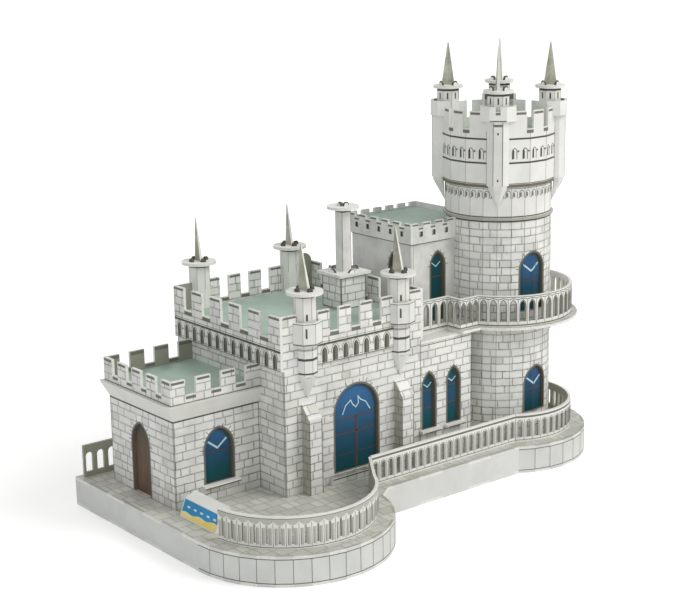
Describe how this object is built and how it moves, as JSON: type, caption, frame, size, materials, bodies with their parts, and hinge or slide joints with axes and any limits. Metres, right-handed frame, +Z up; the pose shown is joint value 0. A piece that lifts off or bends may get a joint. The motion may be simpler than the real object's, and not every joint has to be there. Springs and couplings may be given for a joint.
{
  "type": "cardboard castle",
  "caption": "Card model castle on a low plinth: battlemented blocks, corner turrets, and a tall round tower with a railed balcony.",
  "frame": {"origin": "centre of the bounding box, on the plinth's lower face", "axes": "+Z up, +X along the castle's length towards the round tower, +Y from the main window's wall to the back"},
  "size_m": [0.2734, 0.1694, 0.226],
  "materials": {
    "wall_print": "off-white card with a fine grey brick print, matte",
    "green_print": "pale green printed card, matte",
    "window_print": "dark blue to teal printed card, matte",
    "door_print": "brown printed card, matte",
    "paving_print": "pale paving print on card, matte",
    "plinth_print": "plain pale grey printed card, matte",
    "plate_print": "white card with blue and yellow printed fields, matte",
    "rail_print": "off-white card with olive inner faces, matte",
    "plain_card": "white card with a visible cut edge, matte",
    "spire_print": "olive-grey printed card with a white cut edge, matte"
  },
  "bodies": {
    "root": {"annex_cornice": "wall_print", "annex_door": "door_print", "annex_parapet": "wall_print", "annex_roof": "green_print", "annex_walls": "wall_print", "annex_window": "window_print", "balcony_bracket": "plain_card", "balcony_rail": "rail_print", "balcony_slab": "plain_card", "buttresses": "wall_print", "chimney_base": "wall_print", "chimney_cap": "plain_card", "chimney_head": "plain_card", "chimney_shaft": "wall_print", "deck": "paving_print", "drum": "wall_print", "drum_floor": "plain_card", "drum_roof": "green_print", "gallery_roof": "plain_card", "gallery_walls": "wall_print", "gallery_windows": "window_print", "main_parapet_back": "wall_print", "main_parapet_front": "wall_print", "main_parapet_left": "wall_print", "main_parapet_right": "wall_print", "main_roof": "green_print", "main_step": "plain_card", "main_walls": "wall_print", "main_window": "window_print", "name_plate": "plate_print", "plinth_back_wall": "plinth_print", "plinth_base": "plinth_print", "plinth_bulge_wall": "plinth_print", "plinth_front_wall": "plinth_print", "plinth_round_wall": "plinth_print", "rail_back": "rail_print", "rail_bulge": "rail_print", "rail_front": "rail_print", "rail_round": "rail_print", "tall_block_parapet": "wall_print", "tall_block_roof": "green_print", "tall_block_walls": "wall_print", "tall_block_windows": "window_print", "tower_band": "wall_print", "tower_ring": "plain_card", "tower_turret_back": "wall_print", "tower_turret_discs": "plain_card", "tower_turret_front": "wall_print", "tower_turret_left": "wall_print", "tower_turret_right": "wall_print", "tower_turret_spires": "spire_print", "tower_wall": "wall_print", "tower_windows": "window_print", "turret_back_left": "wall_print", "turret_back_right": "wall_print", "turret_discs": "plain_card", "turret_front_left": "wall_print", "turret_front_right": "wall_print", "turret_spires": "spire_print", "window_sills": "plain_card"}
  },
  "joints": []
}
